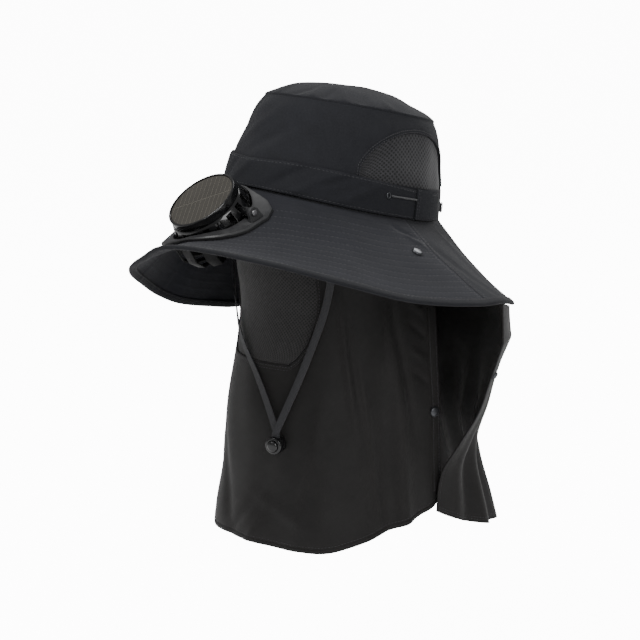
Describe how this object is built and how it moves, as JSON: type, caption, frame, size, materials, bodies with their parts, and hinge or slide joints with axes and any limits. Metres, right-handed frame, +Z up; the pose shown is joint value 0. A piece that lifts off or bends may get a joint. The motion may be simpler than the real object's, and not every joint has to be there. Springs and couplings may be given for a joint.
{
  "type": "sun hat",
  "caption": "Wide-brimmed cloth sun hat with a tilting solar fan in its front brim, chin strap, face veil with a net window and neck cape.",
  "frame": {"origin": "middle of the head opening, at the foot of the crown, where the hat sits on a head", "axes": "+Z up, -Y to the front of the hat, +X to the wearer's left"},
  "size_m": [0.3577, 0.3767, 0.419],
  "materials": {
    "black_cloth": "fine plain weave, matt black",
    "band_cloth": "folded plain weave, matt black",
    "black_net": "open knitted net",
    "veil_cloth": "thin soft cloth with a faint sheen",
    "dark_cord": "braided elastic cord",
    "chrome": "polished plating",
    "gunmetal": "dark plated metal",
    "gloss_plastic": "glossy black moulding",
    "matte_plastic": "fine matt black moulding",
    "solar_cell": "olive grey cell under clear resin, fine pale lines"
  },
  "bodies": {
    "root": {"crown_wall": "black_cloth", "crown_top": "black_cloth", "mesh_vent_left": "black_net", "mesh_vent_right": "black_net", "hat_band": "band_cloth", "band_keeper_left": "band_cloth", "band_keeper_right": "band_cloth", "side_eyelet_left": "gunmetal", "side_eyelet_right": "gunmetal", "side_cord_left": "dark_cord", "side_cord_right": "dark_cord", "rear_ring_left": "chrome", "rear_ring_right": "chrome", "rear_cord": "dark_cord", "brim_front": "black_cloth", "brim_rear": "black_cloth", "brim_binding": "band_cloth", "brim_snap_left": "gunmetal", "brim_snap_right": "gunmetal", "fan_plate": "matte_plastic", "under_grille": "gloss_plastic", "pivot_screw_left": "gunmetal", "pivot_screw_right": "gunmetal", "veil": "veil_cloth", "veil_mesh": "black_net", "veil_snap_left": "gunmetal", "veil_snap_right": "gunmetal", "chin_strap": "band_cloth", "strap_toggle_body": "gloss_plastic", "neck_cape": "veil_cloth", "cape_snap_left": "gunmetal", "cape_snap_right": "gunmetal"},
    "fan_head": {"fan_cage": "gloss_plastic", "solar_rim": "gloss_plastic", "solar_cell": "solar_cell", "fan_motor": "gloss_plastic"},
    "fan_rotor": {"impeller": "gloss_plastic"},
    "toggle_button": {"strap_toggle_button": "gloss_plastic"}
  },
  "joints": [
    {"name": "fan_tilt", "type": "hinge", "parent": "root", "child": "fan_head", "pos_m": [0, -0.12893, 0.00617], "axis": [1, 0, 0], "range_deg": [-20, 2]},
    {"name": "impeller_spin", "type": "hinge", "parent": "fan_head", "child": "fan_rotor", "pos_m": [0, -0.1325, -0.0055], "axis": [0, -0.6157, 0.788], "continuous": true},
    {"name": "button_press", "type": "slide", "parent": "root", "child": "toggle_button", "axis": [-0.3907, 0.9205, 0], "range_m": [0, 0.0015], "stiffness_N_per_m": 150}
  ]
}
